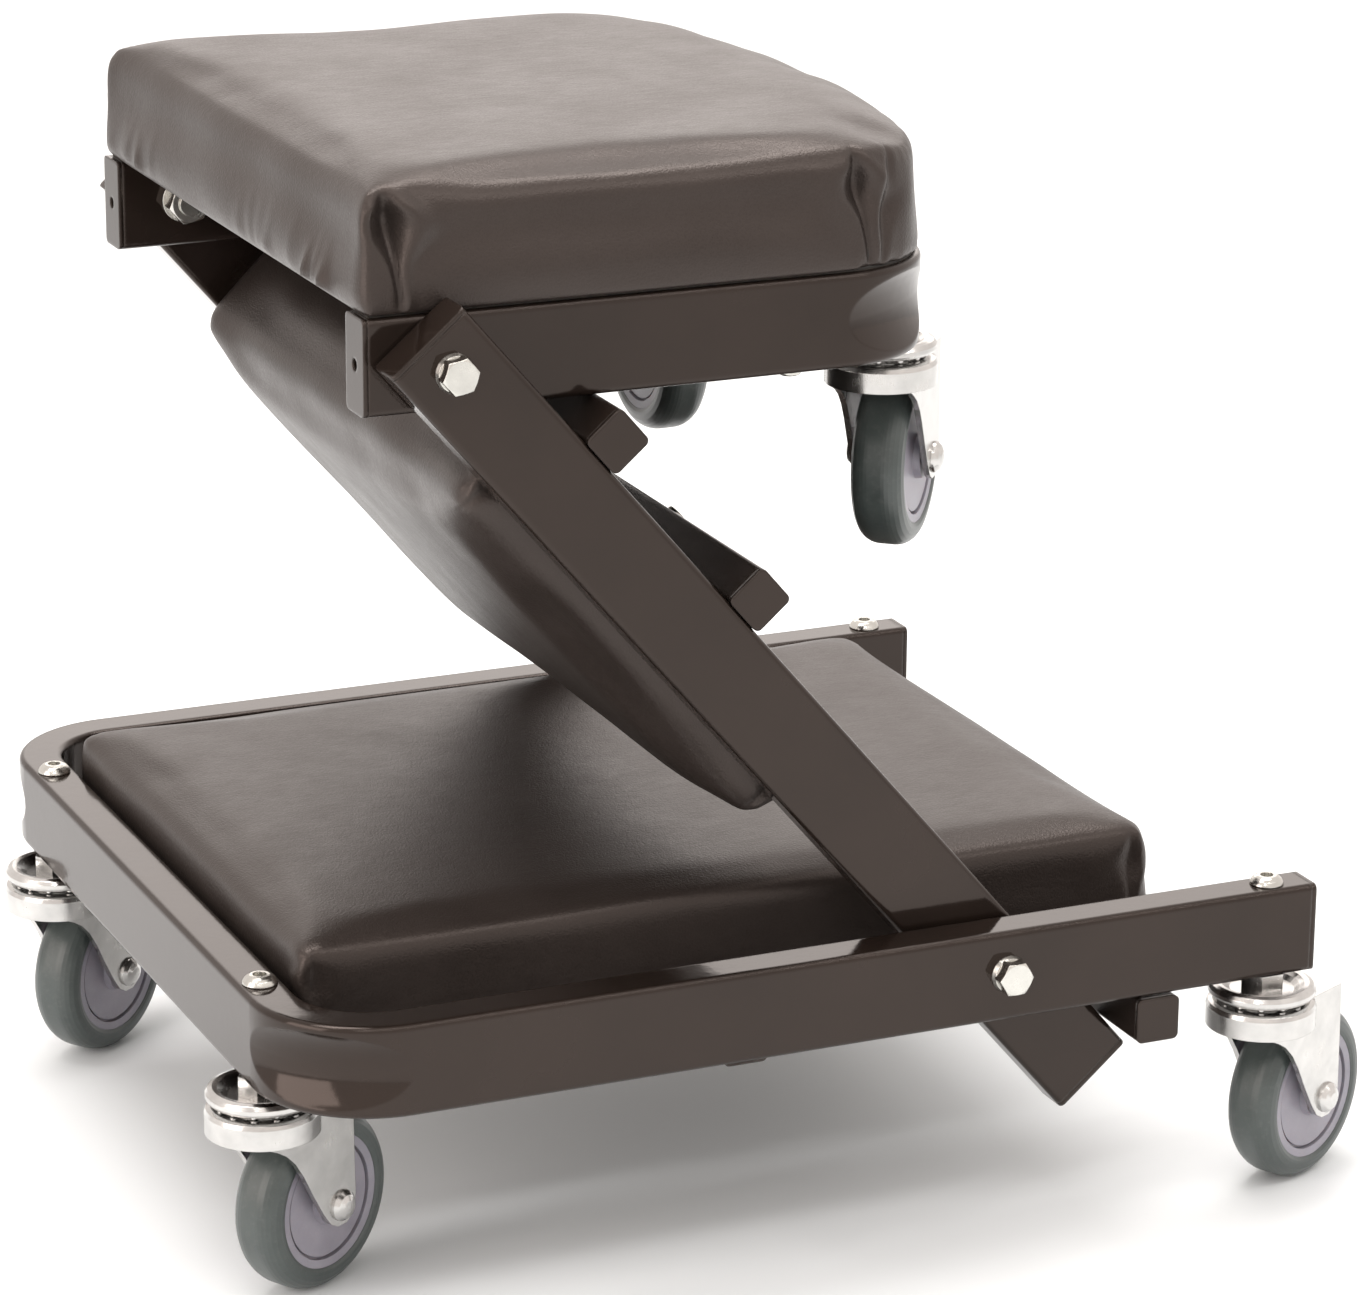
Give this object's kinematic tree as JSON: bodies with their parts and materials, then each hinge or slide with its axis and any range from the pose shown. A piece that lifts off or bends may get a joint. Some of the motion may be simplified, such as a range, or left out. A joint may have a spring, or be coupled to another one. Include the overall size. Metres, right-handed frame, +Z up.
{
  "type": "mechanics creeper",
  "caption": "Folding mechanics creeper in its seat position: wheeled base frame, leaning middle section and a small wheeled seat frame, all of rectangular tube with black padded cushions.",
  "frame": {"origin": "centre of the footprint on the floor, with the creeper in its seat position", "axes": "+Z up, +X from the closed end of the base to its open end, +Y to the left"},
  "size_m": [0.5052, 0.4347, 0.4538],
  "materials": {
    "black_paint": "gloss",
    "vinyl": "satin",
    "plywood": "matte",
    "tyre": "satin",
    "hub": "satin",
    "bright_zinc": "polished",
    "zinc_fasteners": "satin",
    "ball_steel": "polished"
  },
  "bodies": {
    "base": {"lower_frame": "black_paint", "lower_stop_crossbar": "black_paint", "lower_mid_crossbar": "black_paint", "lower_end_plates": "black_paint", "lower_board": "plywood", "lower_cushion": "vinyl", "lower_board_tabs": "black_paint", "lower_board_screws": "zinc_fasteners", "lower_pivot_bolts": "zinc_fasteners", "lower_pivot_washers": "zinc_fasteners", "lower_pivot_nuts": "zinc_fasteners", "lower_top_races": "bright_zinc", "lower_kingpins": "bright_zinc", "lower_caster_screws": "zinc_fasteners", "lower_swivel_balls": "ball_steel"},
    "middle": {"middle_right_tube": "black_paint", "middle_left_tube": "black_paint", "middle_upper_crossbar": "black_paint", "middle_lower_crossbar": "black_paint", "middle_end_plates": "black_paint", "middle_board": "plywood", "middle_cushion": "vinyl", "middle_board_screws": "zinc_fasteners", "upper_pivot_bolts": "zinc_fasteners", "upper_pivot_washers": "zinc_fasteners", "upper_pivot_nuts": "zinc_fasteners"},
    "seat": {"upper_frame": "black_paint", "upper_end_plates": "black_paint", "upper_board": "plywood", "upper_cushion": "vinyl", "upper_board_screws": "zinc_fasteners", "upper_top_races": "bright_zinc", "upper_kingpins": "bright_zinc", "upper_caster_screws": "zinc_fasteners", "upper_swivel_balls": "ball_steel"},
    "swivel_rear_right": {"fork_rear_right": "bright_zinc", "axle_rear_right": "bright_zinc"},
    "wheel_rear_right": {"hub_rear_right": "hub", "tyre_rear_right": "tyre"},
    "swivel_rear_left": {"fork_rear_left": "bright_zinc", "axle_rear_left": "bright_zinc"},
    "wheel_rear_left": {"hub_rear_left": "hub", "tyre_rear_left": "tyre"},
    "swivel_front_right": {"fork_front_right": "bright_zinc", "axle_front_right": "bright_zinc"},
    "wheel_front_right": {"hub_front_right": "hub", "tyre_front_right": "tyre"},
    "swivel_front_left": {"fork_front_left": "bright_zinc", "axle_front_left": "bright_zinc"},
    "wheel_front_left": {"hub_front_left": "hub", "tyre_front_left": "tyre"},
    "swivel_seat_right": {"fork_seat_right": "bright_zinc", "axle_seat_right": "bright_zinc"},
    "wheel_seat_right": {"hub_seat_right": "hub", "tyre_seat_right": "tyre"},
    "swivel_seat_left": {"fork_seat_left": "bright_zinc", "axle_seat_left": "bright_zinc"},
    "wheel_seat_left": {"hub_seat_left": "hub", "tyre_seat_left": "tyre"}
  },
  "joints": [
    {"name": "middle_hinge", "type": "hinge", "parent": "base", "child": "middle", "pos_m": [0.06614, 0, 0.119], "axis": [0, 1, 0], "range_deg": [0, 130.67]},
    {"name": "seat_hinge", "type": "hinge", "parent": "middle", "child": "seat", "pos_m": [-0.16306, 0, 0.38576], "axis": [0, 1, 0], "range_deg": [-130.67, 0]},
    {"name": "swivel_rear_right", "type": "hinge", "parent": "base", "child": "swivel_rear_right", "pos_m": [-0.22936, -0.13971, 0.059], "axis": [0, 0, 1], "continuous": true},
    {"name": "spin_rear_right", "type": "hinge", "parent": "swivel_rear_right", "child": "wheel_rear_right", "pos_m": [-0.20511, -0.12571, 0.0375], "axis": [-0.5, 0.866, 0], "continuous": true},
    {"name": "swivel_rear_left", "type": "hinge", "parent": "base", "child": "swivel_rear_left", "pos_m": [-0.22936, 0.13229, 0.059], "axis": [0, 0, 1], "continuous": true},
    {"name": "spin_rear_left", "type": "hinge", "parent": "swivel_rear_left", "child": "wheel_rear_left", "pos_m": [-0.20671, 0.14875, 0.0375], "axis": [-0.5878, 0.809, 0], "continuous": true},
    {"name": "swivel_front_right", "type": "hinge", "parent": "base", "child": "swivel_front_right", "pos_m": [0.18964, -0.19421, 0.059], "axis": [0, 0, 1], "continuous": true},
    {"name": "spin_front_right", "type": "hinge", "parent": "swivel_front_right", "child": "wheel_front_right", "pos_m": [0.21481, -0.18194, 0.0375], "axis": [-0.4384, 0.8988, 0], "continuous": true},
    {"name": "swivel_front_left", "type": "hinge", "parent": "base", "child": "swivel_front_left", "pos_m": [0.18964, 0.18679, 0.059], "axis": [0, 0, 1], "continuous": true},
    {"name": "spin_front_left", "type": "hinge", "parent": "swivel_front_left", "child": "wheel_front_left", "pos_m": [0.21595, 0.19637, 0.0375], "axis": [-0.342, 0.9397, 0], "continuous": true},
    {"name": "swivel_seat_right", "type": "hinge", "parent": "seat", "child": "swivel_seat_right", "pos_m": [0.05295, -0.10271, 0.32576], "axis": [0, 0, 1], "continuous": true},
    {"name": "spin_seat_right", "type": "hinge", "parent": "swivel_seat_right", "child": "wheel_seat_right", "pos_m": [0.07094, -0.08126, 0.30426], "axis": [-0.766, 0.6428, 0], "continuous": true},
    {"name": "swivel_seat_left", "type": "hinge", "parent": "seat", "child": "swivel_seat_left", "pos_m": [0.05295, 0.09529, 0.32576], "axis": [0, 0, 1], "continuous": true},
    {"name": "spin_seat_left", "type": "hinge", "parent": "swivel_seat_left", "child": "wheel_seat_left", "pos_m": [0.05295, 0.12329, 0.30426], "axis": [-1, 0, 0], "continuous": true}
  ],
  "couplings": [
    {"joint": "seat_hinge", "follows": "middle_hinge", "ratio": -1}
  ]
}
